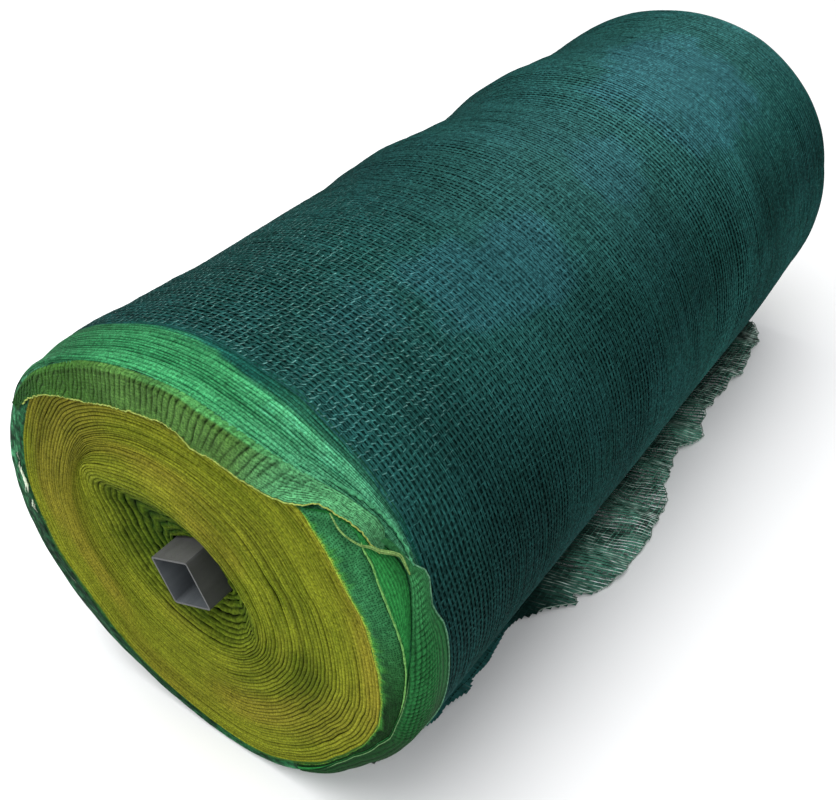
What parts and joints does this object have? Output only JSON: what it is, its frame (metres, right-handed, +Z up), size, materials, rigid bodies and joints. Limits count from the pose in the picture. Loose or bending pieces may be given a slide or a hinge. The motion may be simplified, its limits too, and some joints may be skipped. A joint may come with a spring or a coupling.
{
  "type": "roll of olive harvesting net",
  "caption": "Large roll of fine olive harvesting net wound on a square steel tube, its border turned in over one end and its loose end lying ruffled on the ground.",
  "frame": {"origin": "on the ground, midway along the roll, straight under the tube's axis", "axes": "+Y along the tube, away from the end with the turned-in border; +Z up; +X towards the loose end"},
  "size_m": [0.4683, 0.9942, 0.4356],
  "materials": {
    "net_teal": "fine knitted plastic net, dark teal, slightly shiny threads",
    "net_green": "fine knitted plastic net, bright green border",
    "net_yellow": "knitted edge of the net, yellow-green, matt",
    "tube_steel": "dark grey painted steel, satin"
  },
  "bodies": {
    "root": {"net_roll": "net_teal", "core_tube": "tube_steel", "top_flap": "net_green", "side_flap": "net_green", "loose_end": "net_teal"}
  },
  "joints": []
}
